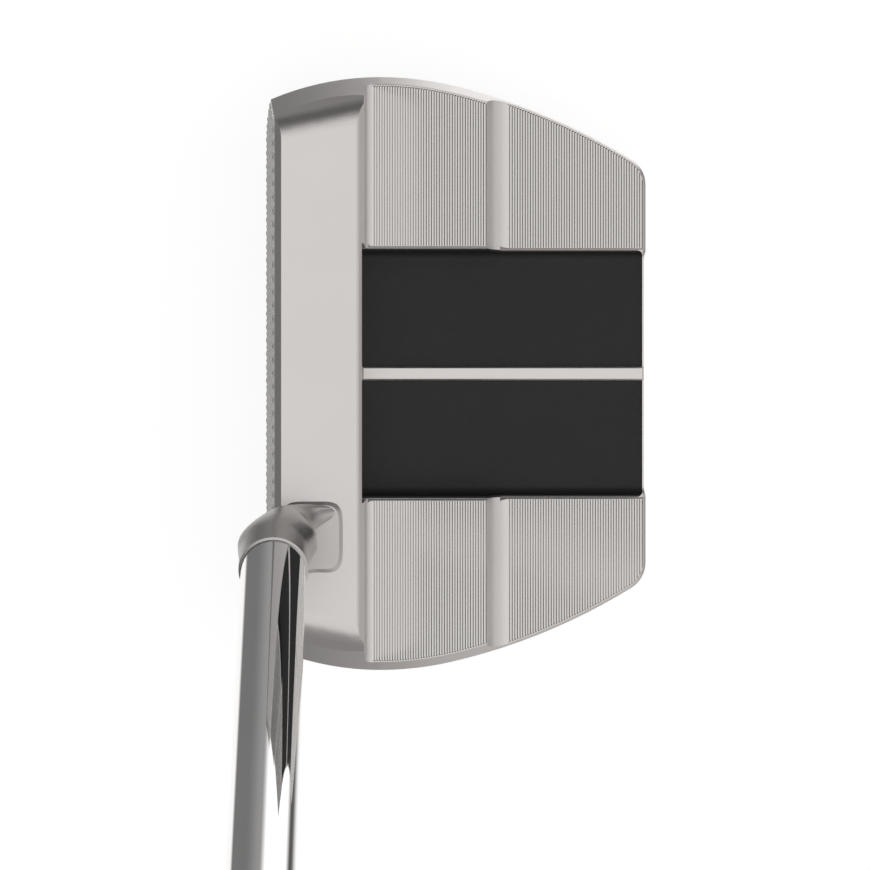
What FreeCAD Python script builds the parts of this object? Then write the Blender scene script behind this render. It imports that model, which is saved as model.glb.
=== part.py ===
"""Mallet putter: milled aluminium mallet head, steel slant neck, chromed steel shaft, moulded grip.

Frame: +Z up, +X from toe to heel, +Y from the face to the back of the head, millimetres.
The origin is on the ground under the middle of the head, on the flat of the sole.
The putter is modelled as it is held at address: sole flat on the ground, shaft leaning to the heel.
"""
import FreeCAD
import Part

import math
import os

from FreeCAD import Vector

# ---------------------------------------------------------------- driving dimensions
BALL_WIDTH = 42.67          # the alignment channel is as wide as a golf ball, half way up
CHANNEL_WIDTH = BALL_WIDTH + 0.43       # and opens a little towards the upper deck
CLUB_LENGTH = 889.0         # ground to butt along the shaft, 35 inches
LIE = math.radians(70.0)    # shaft to ground
LOFT = math.radians(4.0)    # face to vertical

# plan outline of the head at its widest level
HALF_LENGTH = 51.12         # heel-toe half length
WIDEST_Y = -13.1            # where the outline is widest
FACE_Y = -32.75             # leading edge
REAR_Y = 32.7               # trailing edge
FRONT_SIDE_RADIUS = 48.0    # side outline ahead of the widest point
MIDDLE_SIDE_RADIUS = 55.0   # side outline just behind it
REAR_SIDE_RADIUS = 103.0    # side outline towards the back
MIDDLE_SIDE_TURN = math.radians(13.0)
REAR_CORNER_RADIUS = 5.2
WALL_DRAFT = math.radians(18.3)

# levels
WIDEST_Z = 12.2
BAR_TOP_Z = 25.0
UPPER_DECK_Z = 16.3
LOWER_DECK_Z = 13.2
CHANNEL_FLOOR_Z = 10.9      # top of the black inlays
REAR_LIP_Z = 11.3
SIGHT_TOP_Z = 11.9

# the front bar and the two decks behind it
FACE_CHAMFER_WIDTH = 1.2    # bevel between the face and the bar top
FACE_CHAMFER_DEPTH = 1.9
BAR_REAR_Y = -17.2          # where the bar's flat top ends
BAR_REAR_RADIUS = 0.8
BAR_BEVEL_SLOPE = math.radians(48.0)
BAR_BEVEL_FOOT_Y = -15.8    # below it the bar's back wall is nearly upright
BAR_WALL_DRAFT = math.radians(1.5)
DECK_FILLET = 1.4
BAR_END_RADIUS = 5.5        # rounding over the two ends of the bar
BAR_END_TURN = math.radians(51.0)
BAR_FLAT_FRONT = 39.3       # half length of the bar's flat top, along the face
BAR_FLAT_REAR = 42.6        # the same along its back edge
STEP_Y = 5.35               # where the upper deck drops to the lower one
STEP_RADIUS = 4.0
RIM_BEVEL = 0.12            # broken edge round the decks
CHANNEL_RIM_BEVEL = 0.35    # broken edge along the channel

# sole
SOLE_FLAT_HALF = 17.0       # half width of the flat that meets the ground
SOLE_CAMBER_RADIUS = 165.0
SOLE_EDGE_INSET = 3.6
SOLE_FLAT_REAR_Y = 10.0
SOLE_REAR_RISE = 4.5
SOLE_LEADING_RISE = 1.8     # height at which the rounded leading edge meets the face
SOLE_LEADING_DEPTH = 2.4    # how far back the same rounding starts on the sole

# alignment channel and its inlays
CHANNEL_FRONT_Y = -16.15
CHANNEL_REAR_Y = 32.15
CHANNEL_DRAFT = math.radians(5.0)
CHANNEL_FILLET = 2.0
INLAY_THICKNESS = 0.3
CHANNEL_CORNER_RADIUS = 0.9
SIGHT_HALF_WIDTH = 1.15
SIGHT_SLOT_DEPTH = 1.0
SIGHT_REAR_Y = 32.4
FIT_GAP = 0.05

# sole cavity, plate and screws
CAVITY_FRONT_Y = -12.0
CAVITY_REAR_Y = 26.0
CAVITY_FRONT_HALF = 40.0
CAVITY_REAR_HALF = 27.0
CAVITY_CORNER_RADIUS = 3.0
CAVITY_ROOF = 2.4           # metal left between the cavity and the channel
PLATE_SEAT_Z = 2.9          # ledge that the plate rests against
PLATE_LEDGE = 3.0
SCREW_RADIUS = 1.5
SCREW_HEAD_RADIUS = 2.75
SCREW_HEAD_Z = 1.0
SCREW_HEAD_DEPTH = 1.3
SCREW_SOCKET_RADIUS = 1.15
SCREW_SOCKET_DEPTH = 1.0
SCREW_REACH = 4.8           # length of screw beyond the plate
SCREW_HOLE_DEPTH = 6.0
SCREW_BOSS_WALL = 2.0
SCREW_INSET = 5.2           # screw centres in from the outline of the cavity
SCREW_SHIFT = 1.2           # and back towards it, along Y

# sole weights
WEIGHT_X = 35.0
WEIGHT_Y = -23.5
WEIGHT_RADIUS = 6.5
WEIGHT_FLANGE_RADIUS = 7.5
WEIGHT_FLANGE = 1.6
WEIGHT_DEPTH = 10.0
WEIGHT_END_GAP = 0.5
WEIGHT_RECESS = 0.9         # face of the weight above the sole's rocker
WEIGHT_SOCKET = 5.0
WEIGHT_SOCKET_DEPTH = 4.0

# neck
SHAFT_Y = -30.8
SHOULDER_X = 33.4           # shaft axis at the neck's shoulder
SHOULDER_Z = 55.0
SHOULDER_RADIUS = 5.9
SHOULDER_BEVEL = 0.17
NECK_COLLAR_LENGTH = 7.0    # round part of the neck below the bevel
NECK_COLUMN = (              # centre X, Y, Z; half width and depth; squareness; swing in degrees
    (24.5, -24.8, 25.3, 4.9, 1.7, 1.7, 100),
    (24.9, -26.2, 26.6, 4.4, 2.3, 2.0, 102),
    (25.6, -27.5, 28.5, 3.7, 3.1, 2.1, 102),
    (27.6, -29.4, 35.0, 4.4, 4.8, 2.1, 98),
)
NECK_BASE_X = 28.1
NECK_BASE_Y = -24.6
NECK_BASE_LENGTH = 12.2     # heel to toe
NECK_BASE_WIDTH = 10.4      # face to back
NECK_SEAT_DEPTH = 1.0
NECK_PAD_RISE = 0.8         # how far the pad stands proud of the bar
NECK_PAD_BEVEL = 0.6
NECK_PAD_SQUARENESS = 5.0
NECK_SPIGOT_RADIUS = 4.0
NECK_SPIGOT_DEPTH = 12.0
NECK_POST_RADIUS = 4.85
NECK_POST_LENGTH = 30.0
EPOXY_START = 0.5

# shaft and grip
SHAFT_RADIUS = 5.53         # parallel tip section
SHAFT_BUTT_RADIUS = 7.62    # 0.600 inch
SHAFT_WALL = 0.55
SHAFT_FIRST_STEP = 205.0
SHAFT_STEP_PITCH = 36.0
SHAFT_STEPS = 9
SHAFT_STEP_LENGTH = 1.2
PLUG_GAP = 1.0
PLUG_LENGTH = 12.0
GRIP_LENGTH = 267.0
GRIP_TAPE_START = 6.0       # from the mouth of the grip
GRIP_SECTIONS = (           # share of the length, depth, half width, height of the thumb flat
    (0.0, 9.4, 9.4, 8.8),
    (0.04, 10.2, 10.2, 9.2),
    (0.3, 11.6, 11.6, 9.8),
    (0.62, 13.0, 13.0, 10.4),
    (0.86, 15.0, 14.4, 11.2),
    (1.0, 15.4, 14.8, 11.6),
)
GRIP_TAPE_THICKNESS = 0.25
CAP_THICKNESS = 4.0
CAP_TAPER = 1.2
CAP_VENT_RADIUS = 1.6

AXIS = Vector(math.cos(LIE), 0, math.sin(LIE))
ACROSS = Vector(-math.sin(LIE), 0, math.cos(LIE))   # square to the shaft, towards the toe and up
SHOULDER = Vector(SHOULDER_X, SHAFT_Y, SHOULDER_Z)
BUTT_DISTANCE = CLUB_LENGTH - SHOULDER_Z / math.sin(LIE)
FACE_LEAN = math.tan(LOFT)


# ---------------------------------------------------------------- helpers
def on_shaft(distance):
    """Point on the shaft axis, measured from the neck's shoulder."""
    return SHOULDER + AXIS * distance


def tube(outer, inner, start, end):
    """Round tube on the shaft axis."""
    body = Part.makeCylinder(outer, end - start, on_shaft(start), AXIS)
    return body.cut(Part.makeCylinder(inner, end - start + 2, on_shaft(start - 1), AXIS))


def line(a, b):
    return Part.LineSegment(a, b).toShape()


def arc(a, middle, b):
    return Part.Arc(a, middle, b).toShape()


def turned(centre, radius, angle):
    """Point on a plan circle; angle 0 is along +X, positive towards +Y."""
    return Vector(centre.x + radius * math.cos(angle), centre.y + radius * math.sin(angle), 0)


def prism(edges, direction):
    return Part.Face(Part.Wire(edges)).extrude(direction)


def rounded_polygon(points, radius, z=0.0):
    """Closed wire through plan points with every corner rounded to one radius."""
    wire_edges = []
    count = len(points)
    corners = []
    for i, point in enumerate(points):
        here = Vector(point[0], point[1], z)
        before = Vector(*points[i - 1], z) - here
        after = Vector(*points[(i + 1) % count], z) - here
        before.normalize()
        after.normalize()
        half = before.getAngle(after) / 2
        setback = radius / math.tan(half)
        bisector = (before + after).normalize()
        centre = here + bisector * (radius / math.sin(half))
        corners.append((here + before * setback, centre - bisector * radius, here + after * setback))
    for i, (start, middle, end) in enumerate(corners):
        wire_edges.append(arc(start, middle, end))
        wire_edges.append(line(end, corners[(i + 1) % count][0]))
    return Part.Wire(wire_edges)


# ---------------------------------------------------------------- head outline
def side_chain(inset):
    """Heel side of the plan outline, inset from the widest one: ends and middles of its arcs."""
    front_centre = Vector(HALF_LENGTH - FRONT_SIDE_RADIUS, WIDEST_Y, 0)
    middle_centre = Vector(HALF_LENGTH - MIDDLE_SIDE_RADIUS, WIDEST_Y, 0)
    # arcs share their tangent, so each centre lies on the last radius
    rear_centre = turned(middle_centre, MIDDLE_SIDE_RADIUS - REAR_SIDE_RADIUS, MIDDLE_SIDE_TURN)
    # the corner arc touches both the side and the straight trailing edge
    corner_reach = REAR_SIDE_RADIUS - REAR_CORNER_RADIUS
    end_turn = math.asin((REAR_Y - REAR_CORNER_RADIUS - rear_centre.y) / corner_reach)
    corner_centre = turned(rear_centre, corner_reach, end_turn)
    front_turn = -math.asin((WIDEST_Y - FACE_Y + 12.0) / FRONT_SIDE_RADIUS)
    chain = []
    for centre, radius, start, end in (
        (front_centre, FRONT_SIDE_RADIUS, front_turn, 0.0),
        (middle_centre, MIDDLE_SIDE_RADIUS, 0.0, MIDDLE_SIDE_TURN),
        (rear_centre, REAR_SIDE_RADIUS, MIDDLE_SIDE_TURN, end_turn),
        (corner_centre, REAR_CORNER_RADIUS, end_turn, math.pi / 2),
    ):
        here = radius - inset
        chain.append([turned(centre, here, angle) for angle in (start, (start + end) / 2, end)])
    return chain


def outline(inset, z):
    """Whole plan outline as a wire. It runs on ahead of the face, which is cut later."""
    up = Vector(0, 0, z)
    chain = [[p + up for p in points] for points in side_chain(inset)]
    mirrored = [[Vector(-p.x, p.y, p.z) for p in reversed(points)] for points in reversed(chain)]
    edges = [arc(*points) for points in chain]
    edges.append(line(chain[-1][2], mirrored[0][0]))
    edges += [arc(*points) for points in mirrored]
    edges.append(line(mirrored[-1][2], chain[0][0]))
    return Part.Wire(edges)


def drafted_block():
    """Head block: drafted walls above the widest level, tucked in below it."""
    top_inset = (BAR_TOP_Z - WIDEST_Z) * math.tan(WALL_DRAFT)
    upper = Part.makeLoft([outline(0, WIDEST_Z), outline(top_inset, BAR_TOP_Z)], True, True)
    lower = Part.makeLoft([outline(SOLE_EDGE_INSET, 0), outline(0, WIDEST_Z)], True, True)
    return upper.fuse(lower)


def bar_end_cutter(side):
    """What the rounding takes off one end of the bar: it meets the drafted wall in a crease."""
    run = Vector(side * (BAR_FLAT_REAR - BAR_FLAT_FRONT), BAR_REAR_Y - FACE_Y, 0)
    centre = Vector(side * BAR_FLAT_FRONT, FACE_Y, BAR_TOP_Z - BAR_END_RADIUS) - run * 0.5
    reach = 2 * BAR_END_RADIUS

    def round_point(angle):
        return centre + Vector(side * math.sin(angle), 0, math.cos(angle)) * BAR_END_RADIUS

    # the rounding runs out along its own tangent until the wall cuts it off
    tangent = Vector(side * math.cos(BAR_END_TURN), 0, -math.sin(BAR_END_TURN))
    foot = round_point(BAR_END_TURN) + tangent * (0.5 * BAR_END_RADIUS)
    outside = foot + Vector(side * reach, 0, 0)
    above = Vector(0, 0, 2 * reach)
    edges = [
        arc(round_point(0), round_point(BAR_END_TURN / 2), round_point(BAR_END_TURN)),
        line(round_point(BAR_END_TURN), foot),
        line(foot, outside),
        line(outside, outside + above),
        line(outside + above, round_point(0) + Vector(0, 0, reach)),
        line(round_point(0) + Vector(0, 0, reach), round_point(0)),
    ]
    return prism(edges, run * 2.2)


def side_profile():
    """The head's section square to the face, as wide as the head: face, bar, decks and sole."""
    reach = HALF_LENGTH + 5

    def at(y, z):
        return Vector(-reach, y, z)

    chamfer_z = BAR_TOP_Z - FACE_CHAMFER_DEPTH
    chamfer_foot = at(FACE_Y + chamfer_z * FACE_LEAN, chamfer_z)
    chamfer_top = at(chamfer_foot.y + FACE_CHAMFER_WIDTH, BAR_TOP_Z)

    def round_point(centre, radius, angle):
        return Vector(-reach, centre.y + radius * math.cos(angle), centre.z + radius * math.sin(angle))

    # a rounded back edge and a bevel, then the bar's steep wall and a fillet on to the deck
    bar_centre = at(BAR_REAR_Y, BAR_TOP_Z - BAR_REAR_RADIUS)
    bevel_turn = math.pi / 2 - BAR_BEVEL_SLOPE
    bevel_top = round_point(bar_centre, BAR_REAR_RADIUS, bevel_turn)
    bevel_drop = (BAR_BEVEL_FOOT_Y - bevel_top.y) * math.tan(BAR_BEVEL_SLOPE)
    bevel_foot = at(BAR_BEVEL_FOOT_Y, bevel_top.z - bevel_drop)
    deck_centre_z = UPPER_DECK_Z + DECK_FILLET
    wall_bottom_z = deck_centre_z - DECK_FILLET * math.sin(BAR_WALL_DRAFT)
    wall_bottom_y = bevel_foot.y + (bevel_foot.z - wall_bottom_z) * math.tan(BAR_WALL_DRAFT)
    deck_centre = at(wall_bottom_y + DECK_FILLET * math.cos(BAR_WALL_DRAFT), deck_centre_z)
    # the step is a ball-nosed cut: steep at the upper deck, level at the lower one
    step_centre_z = LOWER_DECK_Z + STEP_RADIUS
    step_start = math.pi + math.asin((step_centre_z - UPPER_DECK_Z) / STEP_RADIUS)
    step_centre = Vector(-reach, STEP_Y - STEP_RADIUS * math.cos(step_start), step_centre_z)
    leading_top = at(FACE_Y + SOLE_LEADING_RISE * FACE_LEAN, SOLE_LEADING_RISE)
    leading_foot = at(FACE_Y + SOLE_LEADING_DEPTH, 0)
    edges = [
        line(leading_top, chamfer_foot),
        line(chamfer_foot, chamfer_top),
        line(chamfer_top, at(bar_centre.y, BAR_TOP_Z)),
        arc(
            at(bar_centre.y, BAR_TOP_Z),
            round_point(bar_centre, BAR_REAR_RADIUS, (math.pi / 2 + bevel_turn) / 2),
            bevel_top,
        ),
        line(bevel_top, bevel_foot),
        line(bevel_foot, round_point(deck_centre, DECK_FILLET, math.pi + BAR_WALL_DRAFT)),
        arc(
            round_point(deck_centre, DECK_FILLET, math.pi + BAR_WALL_DRAFT),
            round_point(deck_centre, DECK_FILLET, (2.5 * math.pi + BAR_WALL_DRAFT) / 2),
            at(deck_centre.y, UPPER_DECK_Z),
        ),
        line(at(deck_centre.y, UPPER_DECK_Z), round_point(step_centre, STEP_RADIUS, step_start)),
        arc(
            round_point(step_centre, STEP_RADIUS, step_start),
            round_point(step_centre, STEP_RADIUS, (step_start + 1.5 * math.pi) / 2),
            at(step_centre.y, LOWER_DECK_Z),
        ),
        line(at(step_centre.y, LOWER_DECK_Z), at(REAR_Y + 2, LOWER_DECK_Z)),
        line(at(REAR_Y + 2, LOWER_DECK_Z), at(REAR_Y + 2, SOLE_REAR_RISE)),
        arc(
            at(REAR_Y + 2, SOLE_REAR_RISE),
            at((REAR_Y + SOLE_FLAT_REAR_Y) / 2, SOLE_REAR_RISE * 0.21),
            at(SOLE_FLAT_REAR_Y, 0),
        ),
        line(at(SOLE_FLAT_REAR_Y, 0), leading_foot),
        arc(leading_foot, at(FACE_Y + 0.31 * SOLE_LEADING_DEPTH, 0.31 * SOLE_LEADING_RISE), leading_top),
    ]
    return prism(edges, Vector(2 * reach, 0, 0))


def sole_camber():
    """Front-view section: a flat in the middle, a gentle rocker to heel and toe."""
    reach = HALF_LENGTH + 5
    rise = SOLE_CAMBER_RADIUS - math.sqrt(SOLE_CAMBER_RADIUS**2 - (reach - SOLE_FLAT_HALF) ** 2)
    half = (reach - SOLE_FLAT_HALF) / 2
    half_rise = SOLE_CAMBER_RADIUS - math.sqrt(SOLE_CAMBER_RADIUS**2 - half**2)
    back = REAR_Y + 5
    front = FACE_Y - 5

    def at(x, z):
        return Vector(x, front, z)

    edges = [
        line(at(-SOLE_FLAT_HALF, 0), at(SOLE_FLAT_HALF, 0)),
        arc(at(SOLE_FLAT_HALF, 0), at(SOLE_FLAT_HALF + half, half_rise), at(reach, rise)),
        line(at(reach, rise), at(reach, BAR_TOP_Z + 5)),
        line(at(reach, BAR_TOP_Z + 5), at(-reach, BAR_TOP_Z + 5)),
        line(at(-reach, BAR_TOP_Z + 5), at(-reach, rise)),
        arc(at(-reach, rise), at(-SOLE_FLAT_HALF - half, half_rise), at(-SOLE_FLAT_HALF, 0)),
    ]
    return prism(edges, Vector(0, back - front, 0))


def channel_section(grow, y, length, floor_z):
    """Bathtub section of the alignment channel, swept along Y. grow moves its walls and floor outwards."""
    half_top = CHANNEL_WIDTH / 2 + grow
    slope = math.tan(CHANNEL_DRAFT)
    top_z = BAR_TOP_Z + 3
    radius = CHANNEL_FILLET + grow
    half_floor = half_top - (UPPER_DECK_Z - floor_z) * slope
    turn = math.pi / 2 - CHANNEL_DRAFT
    setback = radius * math.tan(turn / 2)
    centre_x = half_floor - setback
    centre_z = floor_z + radius

    def at(x, z):
        return Vector(x, y, z)

    def corner(side):
        wall_x = side * (centre_x + radius * math.cos(CHANNEL_DRAFT))
        wall = at(wall_x, centre_z - radius * math.sin(CHANNEL_DRAFT))
        diagonal = -(math.pi / 2 + CHANNEL_DRAFT) / 2
        middle = at(side * (centre_x + radius * math.cos(diagonal)), centre_z + radius * math.sin(diagonal))
        return wall, middle, at(side * centre_x, floor_z)

    top_half = half_top + (top_z - UPPER_DECK_Z) * slope
    right, left = corner(1), corner(-1)
    edges = [
        line(at(top_half, top_z), right[0]),
        arc(*right),
        line(right[2], left[2]),
        arc(left[2], left[1], left[0]),
        line(left[0], at(-top_half, top_z)),
        line(at(-top_half, top_z), at(top_half, top_z)),
    ]
    return prism(edges, Vector(0, length, 0))


def rim_sliver(block, deck_z, front_y, rear_y):
    """The broken edge between one deck and the drafted wall outside it."""
    inset = (deck_z - WIDEST_Z) * math.tan(WALL_DRAFT) + RIM_BEVEL
    taper = Part.makeLoft([outline(inset - 1, deck_z - 1), outline(inset, deck_z)], True, True)
    slab = Part.makeBox(
        2 * HALF_LENGTH, rear_y - front_y, 1, Vector(-HALF_LENGTH, front_y, deck_z - 1)
    )
    return block.common(slab).cut(taper)


def head_block():
    block = drafted_block().common(side_profile()).common(sole_camber())
    block = block.cut(bar_end_cutter(-1)).cut(bar_end_cutter(1))
    scoop_end = STEP_Y + STEP_RADIUS
    for deck_z, front_y, rear_y in (
        (UPPER_DECK_Z, BAR_REAR_Y + 2, STEP_Y),
        (LOWER_DECK_Z, scoop_end, REAR_Y + 1),
    ):
        block = block.cut(rim_sliver(block, deck_z, front_y, rear_y))
    return block


def channel_rims():
    """Broken edges where the channel's walls meet the two decks."""
    cutters = []
    slope = math.tan(CHANNEL_DRAFT)
    for deck_z, front_y, rear_y in (
        (UPPER_DECK_Z, CHANNEL_FRONT_Y, STEP_Y + 0.6),
        (LOWER_DECK_Z, STEP_Y + 0.6, REAR_Y + 1),
    ):
        half = CHANNEL_WIDTH / 2 - (UPPER_DECK_Z - deck_z) * slope
        foot = deck_z - CHANNEL_RIM_BEVEL

        def at(x, z):
            return Vector(x, front_y, z)

        wide = half + 2 * CHANNEL_RIM_BEVEL
        high = deck_z + CHANNEL_RIM_BEVEL
        corners = [at(half, foot), at(wide, high), at(-wide, high), at(-half, foot)]
        face = Part.Face(Part.makePolygon(corners + corners[:1]))
        cutters.append(face.extrude(Vector(0, rear_y - front_y, 0)))
    return cutters


def channel_plan():
    """Tall prism that rounds the channel's two rear corners in plan."""
    half = CHANNEL_WIDTH / 2 + 3
    corner = CHANNEL_WIDTH / 2 - (UPPER_DECK_Z - LOWER_DECK_Z + CHANNEL_RIM_BEVEL) * math.tan(CHANNEL_DRAFT)
    rear = CHANNEL_REAR_Y
    radius = CHANNEL_CORNER_RADIUS
    lean = radius * math.sqrt(0.5)

    def at(x, y):
        return Vector(x, y, 0)

    def rounding(side):
        start = at(side * corner, rear - radius)
        middle = at(side * (corner - radius + lean), rear - radius + lean)
        return start, middle, at(side * (corner - radius), rear)

    right, left = rounding(1), rounding(-1)
    front = at(half, CHANNEL_FRONT_Y), at(-half, CHANNEL_FRONT_Y)
    shoulder = rear - 2 * radius
    edges = [
        line(front[1], front[0]),
        line(front[0], at(half, shoulder)),
        line(at(half, shoulder), at(corner, shoulder)),
        line(at(corner, shoulder), right[0]),
        arc(*right),
        line(right[2], left[2]),
        arc(left[2], left[1], left[0]),
        line(left[0], at(-corner, shoulder)),
        line(at(-corner, shoulder), at(-half, shoulder)),
        line(at(-half, shoulder), front[1]),
    ]
    return prism(edges, Vector(0, 0, BAR_TOP_Z + 5))


def channel_cut():
    length = CHANNEL_REAR_Y - CHANNEL_FRONT_Y
    pocket = channel_section(0, CHANNEL_FRONT_Y, length, CHANNEL_FLOOR_Z - INLAY_THICKNESS)
    outlet = channel_section(0, CHANNEL_REAR_Y, REAR_Y - CHANNEL_REAR_Y + 3, REAR_LIP_Z)
    return pocket.common(channel_plan()).fuse(outlet)


def sight_slot():
    floor_z = CHANNEL_FLOOR_Z - INLAY_THICKNESS - SIGHT_SLOT_DEPTH
    return Part.makeBox(
        2 * SIGHT_HALF_WIDTH,
        REAR_Y + 3 - CHANNEL_FRONT_Y,
        BAR_TOP_Z,
        Vector(-SIGHT_HALF_WIDTH, CHANNEL_FRONT_Y, floor_z),
    )


# ---------------------------------------------------------------- sole cavity and its plate
def cavity_points(shrink):
    return [
        (-CAVITY_FRONT_HALF + shrink, CAVITY_FRONT_Y + shrink),
        (CAVITY_FRONT_HALF - shrink, CAVITY_FRONT_Y + shrink),
        (CAVITY_REAR_HALF - shrink, CAVITY_REAR_Y - shrink),
        (-CAVITY_REAR_HALF + shrink, CAVITY_REAR_Y - shrink),
    ]


def plate_screw_places():
    for side in (-1, 1):
        yield side * (CAVITY_FRONT_HALF - 2 * SCREW_INSET), CAVITY_FRONT_Y + SCREW_INSET - SCREW_SHIFT
        yield side * (CAVITY_REAR_HALF - SCREW_INSET), CAVITY_REAR_Y - SCREW_INSET + SCREW_SHIFT


def cavity_cut(roof_z):
    """Plate recess, the pocket above it, and the four bosses that the plate's screws go into."""
    below = -5
    wide = Part.Face(rounded_polygon(cavity_points(0), CAVITY_CORNER_RADIUS, below))
    deep = Part.Face(rounded_polygon(cavity_points(PLATE_LEDGE), CAVITY_CORNER_RADIUS, 0))
    wide = wide.extrude(Vector(0, 0, PLATE_SEAT_Z - below))
    deep = deep.extrude(Vector(0, 0, roof_z))
    for x, y in plate_screw_places():
        boss = Part.makeCylinder(SCREW_RADIUS + SCREW_BOSS_WALL, roof_z + 2, Vector(x, y, PLATE_SEAT_Z))
        deep = deep.cut(boss)
    cut = wide.fuse(deep)
    for x, y in plate_screw_places():
        hole = Part.makeCylinder(SCREW_RADIUS, SCREW_HOLE_DEPTH + 1, Vector(x, y, PLATE_SEAT_Z - 1))
        cut = cut.fuse(hole)
    return cut


def hexagon(x, y, z, corner_radius, depth):
    """Six-sided socket, from z upwards."""
    angles = [math.radians(60 * k) for k in range(7)]
    ring = [Vector(x + corner_radius * math.cos(a), y + corner_radius * math.sin(a), z) for a in angles]
    return Part.Face(Part.makePolygon(ring)).extrude(Vector(0, 0, depth))


def screw_head(x, y, gap):
    return Part.makeCone(
        SCREW_HEAD_RADIUS + gap, SCREW_RADIUS + gap, SCREW_HEAD_DEPTH, Vector(x, y, SCREW_HEAD_Z)
    )


def plate_screw(x, y):
    length = PLATE_SEAT_Z + SCREW_REACH - SCREW_HEAD_Z
    shank = Part.makeCylinder(SCREW_RADIUS, length, Vector(x, y, SCREW_HEAD_Z))
    recess = hexagon(x, y, SCREW_HEAD_Z - 1, SCREW_SOCKET_RADIUS, SCREW_SOCKET_DEPTH + 1)
    return screw_head(x, y, 0).fuse(shank).cut(recess)


def sole_plate():
    below = -5
    face = Part.Face(rounded_polygon(cavity_points(FIT_GAP), CAVITY_CORNER_RADIUS - FIT_GAP, below))
    plate = face.extrude(Vector(0, 0, PLATE_SEAT_Z - below)).common(head_block())
    for x, y in plate_screw_places():
        plate = plate.cut(Part.makeCylinder(SCREW_RADIUS + FIT_GAP, BAR_TOP_Z, Vector(x, y, below)))
        plate = plate.cut(screw_head(x, y, FIT_GAP))
        sink = Part.makeCylinder(SCREW_HEAD_RADIUS + FIT_GAP, SCREW_HEAD_Z - below, Vector(x, y, below))
        plate = plate.cut(sink)
    return plate


# ---------------------------------------------------------------- sole weights
def weight_pocket(side):
    x = side * WEIGHT_X
    rise = weight_face_z()
    pocket = Part.makeCylinder(WEIGHT_FLANGE_RADIUS, rise + WEIGHT_FLANGE + 5, Vector(x, WEIGHT_Y, -5))
    bore = Part.makeCylinder(WEIGHT_RADIUS, rise + WEIGHT_DEPTH, Vector(x, WEIGHT_Y, 0))
    return pocket.fuse(bore)


def weight_face_z():
    """Height of the weights' outer face: flush with the rocker of the sole at its lowest rim."""
    reach = WEIGHT_X - WEIGHT_FLANGE_RADIUS - SOLE_FLAT_HALF
    return SOLE_CAMBER_RADIUS - math.sqrt(SOLE_CAMBER_RADIUS**2 - reach**2) + WEIGHT_RECESS


def sole_weight(side):
    foot = Vector(side * WEIGHT_X, WEIGHT_Y, weight_face_z())
    flange = Part.makeCylinder(WEIGHT_FLANGE_RADIUS - FIT_GAP, WEIGHT_FLANGE, foot)
    plug = Part.makeCylinder(WEIGHT_RADIUS - FIT_GAP, WEIGHT_DEPTH - WEIGHT_END_GAP, foot)
    socket = hexagon(foot.x, foot.y, foot.z - 1, WEIGHT_SOCKET / math.sqrt(3), WEIGHT_SOCKET_DEPTH + 1)
    return flange.fuse(plug).cut(socket)


# ---------------------------------------------------------------- neck
def neck_pad_section(rise, inset):
    centre = Vector(NECK_BASE_X, NECK_BASE_Y, BAR_TOP_Z - NECK_SEAT_DEPTH + rise)
    half_long = NECK_BASE_LENGTH / 2 - inset
    half_wide = NECK_BASE_WIDTH / 2 - inset
    return neck_section(centre, half_long, half_wide, NECK_PAD_SQUARENESS, Vector(0, 0, 1))


def neck_seat():
    """Pocket in the bar that the neck's pad drops into, and the bore for the spigot below it."""
    floor_z = BAR_TOP_Z - NECK_SEAT_DEPTH
    seat = Part.Face(neck_pad_section(0, 0)).extrude(Vector(0, 0, NECK_SEAT_DEPTH + 5))
    bore_foot = Vector(NECK_BASE_X, NECK_BASE_Y, floor_z - NECK_SPIGOT_DEPTH)
    return seat.fuse(Part.makeCylinder(NECK_SPIGOT_RADIUS, NECK_SPIGOT_DEPTH, bore_foot))


def neck_section(centre, half_long, half_wide, power, normal, swing=0.0):
    """Closed smooth section: a superellipse, square-cornered at high power and round at power 2."""
    across = Vector(0, 1, 0).cross(normal).normalize()
    along = normal.cross(across).normalize()
    long_axis = across * math.cos(swing) + along * math.sin(swing)
    wide_axis = along * math.cos(swing) - across * math.sin(swing)
    points = []
    count = 24
    for k in range(count):
        angle = 2 * math.pi * k / count
        c, s = math.cos(angle), math.sin(angle)
        points.append(
            centre
            + long_axis * (half_long * math.copysign(abs(c) ** (2 / power), c))
            + wide_axis * (half_wide * math.copysign(abs(s) ** (2 / power), s))
        )
    spline = Part.BSplineCurve()
    spline.interpolate(points, PeriodicFlag=True)
    return Part.Wire([spline.toShape()])


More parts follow.
